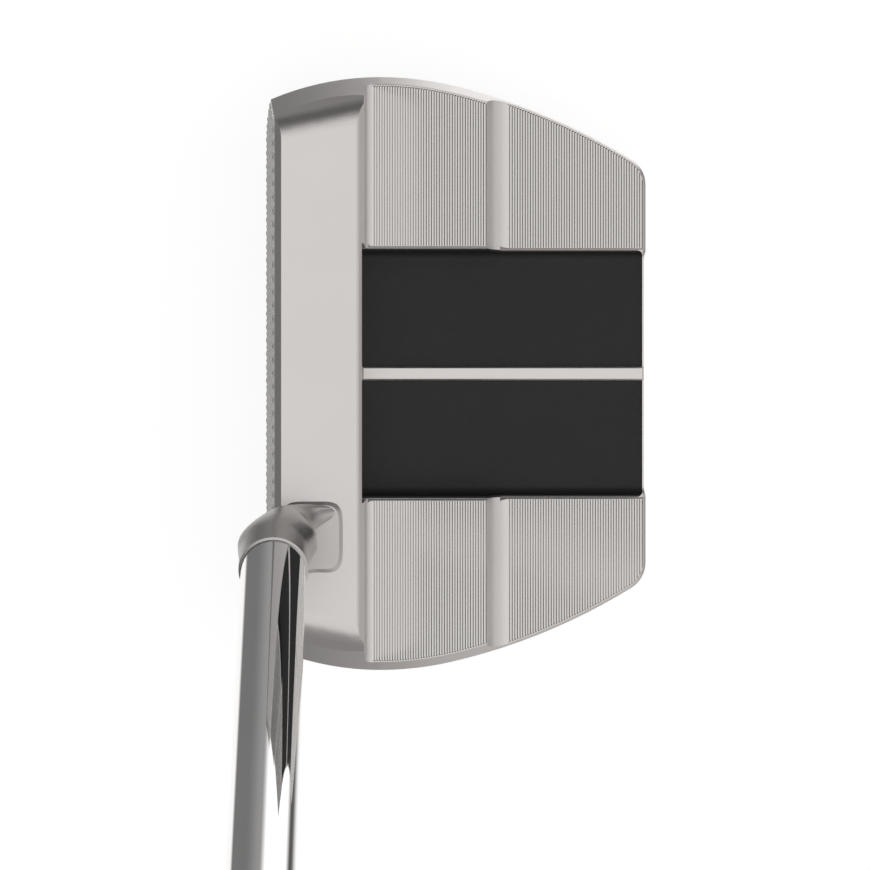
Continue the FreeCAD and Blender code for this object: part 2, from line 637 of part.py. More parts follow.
def slant_neck():
    """Neck: a low pad let into the bar, a column slanting forward off it, a post for the shaft."""
    up = Vector(0, 0, 1)
    tube_top = SHOULDER - AXIS * SHOULDER_BEVEL
    collar_foot = tube_top - AXIS * NECK_COLLAR_LENGTH
    pad_top = NECK_SEAT_DEPTH + NECK_PAD_RISE
    pad_wires = [
        neck_pad_section(rise, inset)
        for rise, inset in ((0, 0), (pad_top - NECK_PAD_BEVEL, 0), (pad_top, NECK_PAD_BEVEL))
    ]
    pad = Part.makeLoft(pad_wires, True, True)
    # the column turns from upright at the pad to square on the shaft, and ends just inside the collar
    column_wires = []
    for x, y, z, wide, deep, squareness, swing in NECK_COLUMN:
        normal = (up + AXIS).normalize() if z > BAR_TOP_Z + NECK_COLLAR_LENGTH else up
        centre = Vector(x, y, z)
        column_wires.append(neck_section(centre, wide, deep, squareness, normal, math.radians(swing)))
    radius = SHOULDER_RADIUS - FIT_GAP
    for rise in (0, 1):
        column_wires.append(neck_section(collar_foot + AXIS * rise, radius, radius, 2.0, AXIS, math.pi / 2))
    column = Part.makeLoft(column_wires, True, False)
    spigot_foot = Vector(NECK_BASE_X, NECK_BASE_Y, BAR_TOP_Z - NECK_SEAT_DEPTH - NECK_SPIGOT_DEPTH)
    spigot = Part.makeCylinder(NECK_SPIGOT_RADIUS, NECK_SPIGOT_DEPTH + 1, spigot_foot)
    post = Part.makeCylinder(NECK_POST_RADIUS, NECK_POST_LENGTH + 2, on_shaft(-2), AXIS)
    collar = Part.makeCylinder(SHOULDER_RADIUS, NECK_COLLAR_LENGTH, collar_foot, AXIS)
    bevel = Part.makeCone(SHOULDER_RADIUS, SHAFT_RADIUS, SHOULDER_BEVEL, tube_top, AXIS)
    return pad.fuse(column).fuse(collar).fuse(bevel).fuse(spigot).fuse(post)


# ---------------------------------------------------------------- head body
def head_body():
    body = head_block().cut(channel_cut()).cut(sight_slot())
    for rim in channel_rims():
        body = body.cut(rim)
    roof_z = CHANNEL_FLOOR_Z - INLAY_THICKNESS - SIGHT_SLOT_DEPTH - CAVITY_ROOF
    body = body.cut(cavity_cut(roof_z))
    for side in (-1, 1):
        body = body.cut(weight_pocket(side))
    return body.cut(neck_seat())


def inlay(side):
    """Black lining of half the channel: floor, the curved foot of the wall, and the wall up to the deck."""
    length = CHANNEL_REAR_Y - CHANNEL_FRONT_Y
    thick = INLAY_THICKNESS
    skin = channel_section(0, CHANNEL_FRONT_Y, length, CHANNEL_FLOOR_Z - thick).common(channel_plan())
    skin = skin.cut(channel_section(-thick, CHANNEL_FRONT_Y - 1, length + 2, CHANNEL_FLOOR_Z))
    start = SIGHT_HALF_WIDTH if side > 0 else -60
    half = Part.makeBox(60 - SIGHT_HALF_WIDTH, 120, UPPER_DECK_Z, Vector(start, -60, 0))
    skin = skin.common(half).common(side_profile())
    for rim in channel_rims():
        skin = skin.cut(rim)
    return skin


def sight_bar():
    """Bare metal sight line between the inlays, let into a slot, with broken edges."""
    floor_z = CHANNEL_FLOOR_Z - INLAY_THICKNESS - SIGHT_SLOT_DEPTH
    bar = Part.makeBox(
        2 * SIGHT_HALF_WIDTH,
        SIGHT_REAR_Y - CHANNEL_FRONT_Y,
        SIGHT_TOP_Z - floor_z,
        Vector(-SIGHT_HALF_WIDTH, CHANNEL_FRONT_Y, floor_z),
    )
    top = [e for e in bar.Edges if e.BoundBox.ZMin > SIGHT_TOP_Z - 0.01]
    bar = bar.makeChamfer(0.25, top)
    return bar.common(drafted_block())


# ---------------------------------------------------------------- shaft and grip
def shaft_radius(step):
    return SHAFT_RADIUS + (SHAFT_BUTT_RADIUS - SHAFT_RADIUS) * step / SHAFT_STEPS


def shaft():
    """Stepped steel tube: one revolved section, parallel tip, nine steps, parallel butt."""
    end = BUTT_DISTANCE - CAP_THICKNESS
    stations = [(0.0, SHAFT_RADIUS)]
    for step in range(1, SHAFT_STEPS + 1):
        at = SHAFT_FIRST_STEP + (step - 1) * SHAFT_STEP_PITCH
        stations.append((at, shaft_radius(step - 1)))
        stations.append((at + SHAFT_STEP_LENGTH, shaft_radius(step)))
    stations.append((end, SHAFT_BUTT_RADIUS))
    outer = [Vector(r, 0, d) for d, r in stations]
    inner = [Vector(r - SHAFT_WALL, 0, d) for d, r in reversed(stations)]
    points = outer + inner
    wire = Part.makePolygon(points + [points[0]])
    solid = Part.Face(wire).revolve(Vector(0, 0, 0), Vector(0, 0, 1), 360)
    solid.Placement = FreeCAD.Placement(SHOULDER, FreeCAD.Rotation(Vector(0, 0, 1), AXIS))
    return solid


def hosel_epoxy():
    return tube(SHAFT_RADIUS - SHAFT_WALL, NECK_POST_RADIUS, EPOXY_START, NECK_POST_LENGTH)


def shaft_tip_plug():
    start = on_shaft(NECK_POST_LENGTH + PLUG_GAP)
    return Part.makeCylinder(SHAFT_RADIUS - SHAFT_WALL, PLUG_LENGTH, start, AXIS)


def grip_section(distance, depth, width, flat):
    """Paddle section: round at the back, flat on the side that the thumbs rest on."""
    centre = on_shaft(distance)
    side = Vector(0, 1, 0)
    count = 32
    points = []
    for k in range(count):
        angle = 2 * math.pi * k / count
        c, s = math.cos(angle), math.sin(angle)
        rise = depth * c
        if rise > flat:
            rise = flat + (rise - flat) * 0.12
        points.append(centre + ACROSS * rise + side * (width * math.copysign(abs(s) ** 0.86, s)))
    spline = Part.BSplineCurve()
    spline.interpolate(points, PeriodicFlag=True)
    return Part.Wire([spline.toShape()])


def grip():
    start = BUTT_DISTANCE - GRIP_LENGTH
    length = GRIP_LENGTH - CAP_THICKNESS
    sections = [grip_section(start + share * length, *sizes) for share, *sizes in GRIP_SECTIONS]
    body = Part.makeLoft(sections, True, False)
    core = SHAFT_BUTT_RADIUS + GRIP_TAPE_THICKNESS
    return body.cut(Part.makeCylinder(core, length + 2, on_shaft(start - 1), AXIS))


def grip_tape():
    start = BUTT_DISTANCE - GRIP_LENGTH + GRIP_TAPE_START
    end = BUTT_DISTANCE - CAP_THICKNESS
    return tube(SHAFT_BUTT_RADIUS + GRIP_TAPE_THICKNESS, SHAFT_BUTT_RADIUS, start, end)


def grip_end_cap():
    """Hard cap bonded in the mouth of the grip, with the vent hole that lets air out when it is fitted."""
    at = BUTT_DISTANCE - CAP_THICKNESS
    share, depth, width, flat = GRIP_SECTIONS[-1]
    low = grip_section(at, depth, width, flat)
    high = grip_section(BUTT_DISTANCE, depth - CAP_TAPER, width - CAP_TAPER, flat - CAP_TAPER)
    cap = Part.makeLoft([low, high], True, True)
    return cap.cut(Part.makeCylinder(CAP_VENT_RADIUS, CAP_THICKNESS + 2, on_shaft(at - 1), AXIS))


# ---------------------------------------------------------------- build
def pieces():
    yield "head_body", head_body()
    yield "slant_neck", slant_neck()
    yield "toe_side_inlay", inlay(-1)
    yield "heel_side_inlay", inlay(1)
    yield "sight_line_bar", sight_bar()
    yield "sole_plate", sole_plate()
    yield "sole_plate_screws", Part.makeCompound([plate_screw(x, y) for x, y in plate_screw_places()])
    yield "toe_sole_weight", sole_weight(-1)
    yield "heel_sole_weight", sole_weight(1)
    yield "shaft", shaft()
    yield "hosel_epoxy", hosel_epoxy()
    yield "shaft_tip_plug", shaft_tip_plug()
    yield "grip_tape", grip_tape()
    yield "grip", grip()
    yield "grip_end_cap", grip_end_cap()


def main():
    os.makedirs("parts", exist_ok=True)
    for name, shape in pieces():
        if not shape.isValid() or not shape.Solids:
            print("WARNING", name, "is not a valid solid")
        shape.exportStep(os.path.join("parts", name + ".step"))
        print(f"{name}: {shape.Volume:.0f} mm3, {len(shape.Solids)} solid(s), {len(shape.Faces)} faces")


main()
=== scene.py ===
"""Looks of a milled mallet putter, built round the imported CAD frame. Metres, the frame of the part."""
import bpy
import math
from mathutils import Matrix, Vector
from mathutils.bvhtree import BVHTree


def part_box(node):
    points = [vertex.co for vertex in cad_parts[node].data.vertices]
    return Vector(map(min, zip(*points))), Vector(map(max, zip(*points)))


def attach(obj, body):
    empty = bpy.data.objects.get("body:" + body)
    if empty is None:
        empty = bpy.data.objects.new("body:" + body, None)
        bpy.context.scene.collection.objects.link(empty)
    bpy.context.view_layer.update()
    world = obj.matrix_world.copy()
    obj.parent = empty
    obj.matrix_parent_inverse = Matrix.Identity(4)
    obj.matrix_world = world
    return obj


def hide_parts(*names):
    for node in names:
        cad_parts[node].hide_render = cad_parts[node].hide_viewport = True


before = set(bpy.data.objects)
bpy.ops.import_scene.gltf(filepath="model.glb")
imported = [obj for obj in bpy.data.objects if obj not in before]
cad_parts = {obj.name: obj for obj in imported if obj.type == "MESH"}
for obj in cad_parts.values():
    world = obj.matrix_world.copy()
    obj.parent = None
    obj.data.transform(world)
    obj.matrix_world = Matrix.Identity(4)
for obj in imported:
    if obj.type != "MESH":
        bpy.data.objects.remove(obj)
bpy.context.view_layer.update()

MM = 0.001


# ---------------------------------------------------------------- node helpers
class Nodes:
    """Small helper that adds and links shader nodes in one tree."""

    def __init__(self, tree):
        self.tree = tree
        self.tree.nodes.clear()

    def add(self, kind, **settings):
        node = self.tree.nodes.new(kind)
        for key, value in settings.items():
            setattr(node, key, value)
        return node

    def link(self, source, target):
        self.tree.links.new(source, target)

    def put(self, value, socket):
        if isinstance(value, bpy.types.NodeSocket):
            self.link(value, socket)
        else:
            socket.default_value = value

    def math(self, operation, a, b=0.0):
        node = self.add("ShaderNodeMath", operation=operation)
        for value, socket in zip((a, b), node.inputs):
            self.put(value, socket)
        return node.outputs[0]

    def ramp(self, value, low, high, out_low=0.0, out_high=1.0):
        """Smooth step from one number at low to another at high."""
        node = self.add("ShaderNodeMapRange", interpolation_type="SMOOTHSTEP")
        self.put(value, node.inputs["Value"])
        ends = {"From Min": low, "From Max": high, "To Min": out_low, "To Max": out_high}
        for name, number in ends.items():
            self.put(number, node.inputs[name])
        return node.outputs[0]

    def mix(self, factor, a, b):
        """Number between a and b."""
        node = self.add("ShaderNodeMix", data_type="FLOAT")
        self.put(factor, node.inputs[0])
        self.put(a, node.inputs[2])
        self.put(b, node.inputs[3])
        return node.outputs[0]

    def mix_colour(self, factor, a, b):
        node = self.add("ShaderNodeMix", data_type="RGBA")
        self.put(factor, node.inputs[0])
        self.put(a, node.inputs[6])
        self.put(b, node.inputs[7])
        return node.outputs[2]

    def attribute(self, name):
        return self.add("ShaderNodeAttribute", attribute_name=name).outputs["Fac"]

    def noise(self, vector, scale, detail=3.0, roughness=0.5):
        node = self.add("ShaderNodeTexNoise")
        self.link(vector, node.inputs["Vector"])
        node.inputs["Scale"].default_value = scale
        node.inputs["Detail"].default_value = detail
        node.inputs["Roughness"].default_value = roughness
        return node.outputs["Fac"]


# ---------------------------------------------------------------- camera
CAMERA_PLACE = (0.0106, -0.0036, 1.8)       # straight above the head
CAMERA_TURN = math.radians(90)              # the toe points up in the picture
CAMERA_SENSOR = 36.0
CAMERA_LENS = 429.0


def make_camera():
    data = bpy.data.cameras.new("camera")
    data.sensor_width = CAMERA_SENSOR
    data.lens = CAMERA_LENS
    data.clip_start = 0.05
    data.clip_end = 40.0
    camera = bpy.data.objects.new("camera", data)
    bpy.context.scene.collection.objects.link(camera)
    camera.location = CAMERA_PLACE
    camera.rotation_euler = (0, 0, CAMERA_TURN)
    bpy.context.scene.camera = camera


# ---------------------------------------------------------------- studio
STUDIO_TINT = (1.0, 0.985, 0.975)
CEILING_LEVEL = 0.90
FRONT_LEVEL = 0.12                          # above the horizon, ahead of the club
BACK_LEVEL = 0.68
TOE_SHARE = 0.25                            # of the front and back levels, towards the toe
LOW_HEEL_LEVEL = 0.55
FLOOR_HALF = 6.0
FLOOR_DROP = 0.0002
PAPER_SHADE = 0.3
PAPER_GLOW = 0.86


def make_world():
    """Soft studio: a bright ceiling and back, a dim front, seen by reflections and diffuse light.

    Each ramp is over one coordinate of the direction that the light comes from.
    """
    world = bpy.data.worlds.new("studio")
    world.use_nodes = True
    bpy.context.scene.world = world
    n = Nodes(world.node_tree)
    direction = n.add("ShaderNodeTexCoord").outputs["Generated"]
    parts = n.add("ShaderNodeSeparateXYZ")
    n.link(direction, parts.inputs[0])
    x, y, z = parts.outputs
    # above the horizon: overhead softbox, bright back, dim front and toe side
    heel_glow = n.math("MULTIPLY", n.ramp(z, 0.50, 0.75), n.ramp(x, 0.20, 0.50))
    ceiling = n.math("MAXIMUM", n.ramp(z, 0.62, 1.0), heel_glow)
    side = n.mix(n.ramp(y, -0.5, 0.5), FRONT_LEVEL, BACK_LEVEL)
    side = n.mix(n.ramp(x, -0.75, -0.10), n.math("MULTIPLY", side, TOE_SHARE), side)
    upper = n.mix(ceiling, side, CEILING_LEVEL)
    # below the horizon: dim ahead of the club; behind it bright at the toe, then a dark strip, then grey
    face_glow = n.math("MULTIPLY", n.ramp(y, -0.50, -0.37, 0.32, 0.0), n.ramp(z, -0.80, -0.62, 1.0, 0.0))
    low_front = n.math("ADD", n.ramp(y, -0.32, -0.03, 0.18, 0.31), face_glow)
    flat = n.math("SQRT", n.math("SUBTRACT", 1.0001, n.math("MULTIPLY", z, z)))
    bearing = n.math("DIVIDE", x, flat)
    past_strip = n.ramp(bearing, -0.46, -0.18, 0.0, 0.26)
    low_back = n.math("ADD", n.ramp(bearing, -0.70, -0.49, 1.25, 0.10), past_strip)
    low_back = n.mix(n.ramp(x, 0.15, 0.5), low_back, LOW_HEEL_LEVEL)
    low = n.mix(n.ramp(y, -0.03, 0.13), low_front, low_back)
    nadir = n.mix(n.ramp(y, -0.1, 0.1), n.ramp(z, -0.940, -0.905), n.ramp(z, -1.0, -0.935))
    lower = n.mix(nadir, 1.0, low)
    level = n.mix(n.ramp(z, -0.12, 0.12), lower, upper)
    colour = n.add("ShaderNodeCombineColor")
    for index, tint in enumerate(STUDIO_TINT):
        n.put(n.math("MULTIPLY", level, tint), colour.inputs[index])
    lit = n.add("ShaderNodeBackground")
    n.link(colour.outputs[0], lit.inputs["Color"])
    seen = n.add("ShaderNodeBackground")
    seen.inputs["Color"].default_value = (1, 1, 1, 1)
    path = n.add("ShaderNodeLightPath")
    blend = n.add("ShaderNodeMixShader")
    n.link(path.outputs["Is Camera Ray"], blend.inputs[0])
    n.link(lit.outputs[0], blend.inputs[1])
    n.link(seen.outputs[0], blend.inputs[2])
    output = n.add("ShaderNodeOutputWorld")
    n.link(blend.outputs[0], output.inputs["Surface"])


def make_floor():
    """White paper that takes a faint shadow and isn't seen in the metal."""
    corners = [(x * FLOOR_HALF, y * FLOOR_HALF, 0) for x, y in ((-1, -1), (1, -1), (1, 1), (-1, 1))]
    mesh = bpy.data.meshes.new("floor")
    mesh.from_pydata(corners, [], [(0, 1, 2, 3)])
    floor = bpy.data.objects.new("floor", mesh)
    bpy.context.scene.collection.objects.link(floor)
    floor.location.z = -FLOOR_DROP
    floor.visible_glossy = False
    floor.visible_diffuse = False
    material = bpy.data.materials.new("floor_paper")
    material.use_nodes = True
    n = Nodes(material.node_tree)
    paper = n.add("ShaderNodeBsdfDiffuse")
    paper.inputs["Color"].default_value = (PAPER_SHADE, PAPER_SHADE, PAPER_SHADE, 1)
    glow = n.add("ShaderNodeEmission")
    glow.inputs["Color"].default_value = (1, 1, 1, 1)
    glow.inputs["Strength"].default_value = PAPER_GLOW
    both = n.add("ShaderNodeAddShader")
    n.link(paper.outputs[0], both.inputs[0])
    n.link(glow.outputs[0], both.inputs[1])
    output = n.add("ShaderNodeOutputMaterial")
    n.link(both.outputs[0], output.inputs["Surface"])
    mesh.materials.append(material)


# ---------------------------------------------------------------- materials
def new_material(name):
    """Material with one principled shader, its nodes, the shader and the object's coordinates."""
    material = bpy.data.materials.new(name)
    material.use_nodes = True
    n = Nodes(material.node_tree)
    shader = n.add("ShaderNodeBsdfPrincipled")
    output = n.add("ShaderNodeOutputMaterial")
    n.link(shader.outputs[0], output.inputs["Surface"])
    place = n.add("ShaderNodeTexCoord").outputs["Object"]
    return material, n, shader, place


def stretched(n, place, scale):
    node = n.add("ShaderNodeMapping")
    n.link(place, node.inputs["Vector"])
    node.inputs["Scale"].default_value = scale
    return node.outputs[0]


def bump(n, height, distance, shader, strength=1.0):
    node = n.add("ShaderNodeBump")
    n.link(height, node.inputs["Height"])
    node.inputs["Distance"].default_value = distance
    node.inputs["Strength"].default_value = strength
    n.link(node.outputs[0], shader.inputs["Normal"])


def bare_metal(
    name, colour, roughness, grain=0.009, tone=0.06, stretch=(1, 1, 1), scale=5200.0, shaded=False
):
    """Bare metal: fine blasted grain in the normal, slow drifts of tone and gloss.

    grain is the depth of the grain in millimetres, and tone is how far the colour drifts.
    shaded: painted shade, faces darken by their shade attribute where the bottoms and front flanks of the
    tool lines would lie in shade.
    """
    material, n, shader, place = new_material(name)
    slow = n.noise(place, 45.0, 2.0)
    fine = n.noise(stretched(n, place, stretch), scale, 2.0)
    dark = tuple(c * (1 - tone) for c in colour) + (1,)
    bright = tuple(min(1, c * (1 + tone)) for c in colour) + (1,)
    drift = n.math("ADD", n.math("MULTIPLY", slow, 0.6), n.math("MULTIPLY", fine, 0.4))
    surface = n.mix_colour(drift, dark, bright)
    # painted shade: the groove faces are darkened by the attribute, standing in for shade in the tool
    # lines
    if shaded:
        surface = n.mix_colour(n.attribute("painted_groove_shade"), (0, 0, 0, 1), surface)
    n.link(surface, shader.inputs["Base Color"])
    shader.inputs["Metallic"].default_value = 1.0
    n.link(n.ramp(fine, 0.3, 0.7, roughness - 0.05, roughness + 0.05), shader.inputs["Roughness"])
    bump(n, fine, grain * MM, shader)
    return material


def chrome():
    material, n, shader, place = new_material("chrome_plate")
    slow = n.noise(place, 30.0, 2.0)
    surface = n.mix_colour(slow, (0.90, 0.90, 0.90, 1), (0.96, 0.96, 0.965, 1))
    n.link(surface, shader.inputs["Base Color"])
    shader.inputs["Metallic"].default_value = 1.0
    fine = n.noise(stretched(n, place, (1, 1, 0.05)), 900.0, 2.0)
    n.link(n.ramp(fine, 0.3, 0.7, 0.02, 0.045), shader.inputs["Roughness"])
    return material


def black_satin():
    material, n, shader, place = new_material("black_satin")
    fine = n.noise(place, 3800.0, 2.0)
    slow = n.noise(place, 60.0, 2.0)
    surface = n.mix_colour(slow, (0.016, 0.016, 0.016, 1), (0.022, 0.022, 0.022, 1))
    n.link(surface, shader.inputs["Base Color"])
    shader.inputs["Specular IOR Level"].default_value = 0.35
    n.link(n.ramp(fine, 0.3, 0.7, 0.42, 0.55), shader.inputs["Roughness"])
    bump(n, fine, 0.002 * MM, shader)
    return material


def rubber():
    material, n, shader, place = new_material("grip_rubber")
    fine = n.noise(place, 2600.0, 3.0)
    slow = n.noise(place, 80.0, 2.0)
    surface = n.mix_colour(slow, (0.014, 0.014, 0.015, 1), (0.024, 0.024, 0.025, 1))
    n.link(surface, shader.inputs["Base Color"])
    shader.inputs["Specular IOR Level"].default_value = 0.4
    n.link(n.ramp(fine, 0.3, 0.7, 0.6, 0.8), shader.inputs["Roughness"])
    bump(n, fine, 0.02 * MM, shader)
    return material


def brushed_metal(name, colour, roughness):
    """Flat plate brushed from heel to toe."""
    return bare_metal(name, colour, roughness, 0.006, 0.05, (0.02, 1, 1))


def turned_metal(name, box):
    """Face-turned metal: fine rings about the middle of the piece."""
    material, n, shader, place = new_material(name)
    low, high = box
    centred = n.add("ShaderNodeVectorMath", operation="SUBTRACT")
    n.link(place, centred.inputs[0])
    centred.inputs[1].default_value = (low + high) / 2
    rings = n.add("ShaderNodeTexWave", wave_type="RINGS", rings_direction="Z")
    n.link(centred.outputs[0], rings.inputs["Vector"])
    rings.inputs["Scale"].default_value = 900.0
    rings.inputs["Distortion"].default_value = 0.3
    height = rings.outputs["Fac"]
    surface = n.mix_colour(height, (0.40, 0.40, 0.41, 1), (0.50, 0.50, 0.51, 1))
    n.link(surface, shader.inputs["Base Color"])
    shader.inputs["Metallic"].default_value = 1.0
    n.link(n.ramp(n.noise(place, 300.0), 0.3, 0.7, 0.24, 0.32), shader.inputs["Roughness"])
    bump(n, height, 0.006 * MM, shader)
    return material


def moulded(name, colour, roughness, scale, grain):
    """Plain moulded or poured stuff: a fine grain and a slight drift of tone."""
    material, n, shader, place = new_material(name)
    fine = n.noise(place, scale, 3.0)
    slow = n.noise(place, 70.0, 2.0)
    dark = tuple(0.85 * c for c in colour) + (1,)
    bright = tuple(1.15 * c for c in colour) + (1,)
    n.link(n.mix_colour(slow, dark, bright), shader.inputs["Base Color"])
    n.link(n.ramp(fine, 0.3, 0.7, roughness - 0.06, roughness + 0.06), shader.inputs["Roughness"])
    bump(n, fine, grain * MM, shader)
    return material


# ---------------------------------------------------------------- mesh helpers
def new_piece(name, points, faces, material, smooth=False):
    mesh = bpy.data.meshes.new(name)
    mesh.from_pydata([tuple(p) for p in points], [], faces)
    mesh.update()
    piece = bpy.data.objects.new(name, mesh)
    bpy.context.scene.collection.objects.link(piece)
    mesh.materials.append(material)
    for polygon in mesh.polygons:
        polygon.use_smooth = smooth
    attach(piece, "root")
    return piece


def node_object(name):
    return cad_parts[name]


def paint(name, material):
    mesh = node_object(name).data
    mesh.materials.clear()
    mesh.materials.append(material)


# ---------------------------------------------------------------- probing the frame
PROBE_HEIGHT = 0.2                          # well above the head
NO_SURFACE = -1.0
BISECTIONS = 16
FLAT_TOLERANCE = 0.02 * MM


def surface_of(name):
    """BVH of one CAD node, for finding where its surfaces are."""
    mesh = node_object(name).data
    return BVHTree.FromPolygons([v.co[:] for v in mesh.vertices], [p.vertices[:] for p in mesh.polygons])


def height_at(surface, x, y):
    hit = surface.ray_cast(Vector((x, y, PROBE_HEIGHT)), Vector((0, 0, -1)))
    return hit[0].z if hit[0] else NO_SURFACE


def level_test(surface, level):
    """Function that tells whether the surface seen from above at x, y lies at this height."""
    def at_level(x, y):
        return abs(height_at(surface, x, y) - level) < FLAT_TOLERANCE

    return at_level


def edge_from(on_surface, inside, outside):
    """Coordinate between inside and outside where a test stops holding, by bisection."""
    for _ in range(BISECTIONS):
        middle = (inside + outside) / 2
        if on_surface(middle):
            inside = middle
        else:
            outside = middle
    return inside


# ---------------------------------------------------------------- milled decks
DECK_X = 0.030                              # on every deck, whichever side
CHANNEL_X = 0.018                           # inside the channel
OUTSIDE_X = 0.053                           # outside the head
UPPER_DECK_Y = 0.0
LOWER_DECK_Y = 0.020
DECK_GAP = 0.06 * MM                        # plain metal left round the milling
GROOVE_PITCH = 0.45 * MM
GROOVE_DEPTH = 0.075 * MM
GROOVE_FOOT = 0.006 * MM                    # bottom of the grooves over the deck
# share of the pitch and share of the depth at each corner of one groove
GROOVE_SECTION = ((0.0, 1.0), (0.22, 1.0), (0.56, 0.0), (0.64, 0.0))
# painted shade on each face of a groove: the bottom and the front flank are darker, where shade would lie
GROOVE_SHADE = (1.0, 1.0, 0.90, 0.60)       # crown, back flank, bottom, front flank
GROOVE_RUNOUT = 0.24 * MM                   # where the tool lifts out at the head's edge
GROOVE_RUNOUT_FOOT = -0.04 * MM             # end of the run-out, inside the deck
# painted shade: the run-out slope at the head's edge is darkened, a painted dark line along the outline
GROOVE_RUNOUT_SHADE = 0.45
MILLING_UNDERSIDE = -0.05 * MM              # underside of the skin, inside the deck


def milled_deck(name, surface, side, y_start, y_end, material):
    """Ball-nosed tool lines across one deck: closed strip of scallops between channel and outer edge."""
    start_x = side * DECK_X
    deck_z = height_at(surface, start_x, (y_start + y_end) / 2)
    at_deck = level_test(surface, deck_z)
    lines = round((y_end - y_start) / GROOVE_PITCH)
    pitch = (y_end - y_start) / lines
    points, faces = [], []
    profile = [(line + share, crown) for line in range(lines) for share, crown in GROOVE_SECTION]
    profile.append((lines, GROOVE_SECTION[0][1]))
    for across, crown in profile:
        y = y_start + pitch * across

        def on_deck(x):
            return at_deck(x, y)

        inner = edge_from(on_deck, start_x, side * CHANNEL_X) + side * DECK_GAP
        outer = edge_from(on_deck, start_x, side * OUTSIDE_X) - side * DECK_GAP
        top = deck_z + GROOVE_FOOT + GROOVE_DEPTH * crown
        low = deck_z + MILLING_UNDERSIDE
        runout = outer - side * GROOVE_RUNOUT
        foot = deck_z + GROOVE_RUNOUT_FOOT
        points += [(inner, y, low), (inner, y, top), (runout, y, top), (outer, y, foot), (outer, y, low)]
    rows, ring = len(profile) - 1, 5
    shades = []
    for row in range(rows):
        here, there = ring * row, ring * row + ring
        for k in range(ring):
            a, b = here + k, here + (k + 1) % ring
            c, d = there + (k + 1) % ring, there + k
            faces.append((a, b, c, d) if side < 0 else (d, c, b, a))
            # painted shade per face: the run-out slope takes GROOVE_RUNOUT_SHADE, the groove faces take
            # GROOVE_SHADE
            shades.append(GROOVE_RUNOUT_SHADE if k == 2 else GROOVE_SHADE[row % len(GROOVE_SHADE)])
    caps = [tuple(reversed(range(ring))), tuple(ring * rows + k for k in range(ring))]
    faces += caps if side < 0 else [tuple(reversed(cap)) for cap in caps]
    shades += [1.0, 1.0]
    piece = new_piece(name, points, faces, material)
    piece.data.attributes.new("painted_groove_shade", "FLOAT", "FACE").data.foreach_set("value", shades)
    return piece


def deck_span(surface, y, front, back):
    """Front and back ends of the milling on the deck that lies at y, between two places off that deck."""
    at_deck = level_test(surface, height_at(surface, DECK_X, y))

    def on_deck(place):
        return at_deck(DECK_X, place)

    return edge_from(on_deck, y, front) + DECK_GAP, edge_from(on_deck, y, back) - DECK_GAP


def mill_decks(surface, material):
    upper = deck_span(surface, UPPER_DECK_Y, -0.020, 0.010)
    lower = deck_span(surface, LOWER_DECK_Y, 0.004, 0.040)
    for side, word in ((-1, "toe"), (1, "heel")):
        milled_deck("upper_deck_milling_" + word, surface, side, *upper, material)
        milled_deck("lower_deck_milling_" + word, surface, side, *lower, material)


# ---------------------------------------------------------------- milled face
DIAMOND_WIDE = 2.32 * MM
DIAMOND_HIGH = 2.40 * MM
DIAMOND_DEPTH = 0.32 * MM
DIAMOND_STEPS = 8
FACE_BORDER = 0.3 * MM
FACE_FADE = 0.9 * MM                        # the cuts run out towards the bevel
FACE_FOOT = 1.9 * MM
FACE_TOP_GAP = 0.03 * MM
FACE_PROUD = 0.01 * MM                      # bottom of the cuts over the CAD face
FACE_BACKING = 0.1 * MM                     # back of the skin, inside the head
FACE_PROBE_LOW = 5 * MM
FACE_PROBE_HIGH = 20 * MM
FACE_PROBE_START = 50 * MM                  # ahead of the head


def diamond(u, v):
    """Height of crossed diagonal milling, 0 in the cuts and 1 at the points left between them."""
    def wave(t):
        return 1 - abs(2 * (t % 1.0) - 1)

    return min(wave(u + v), wave(u - v))


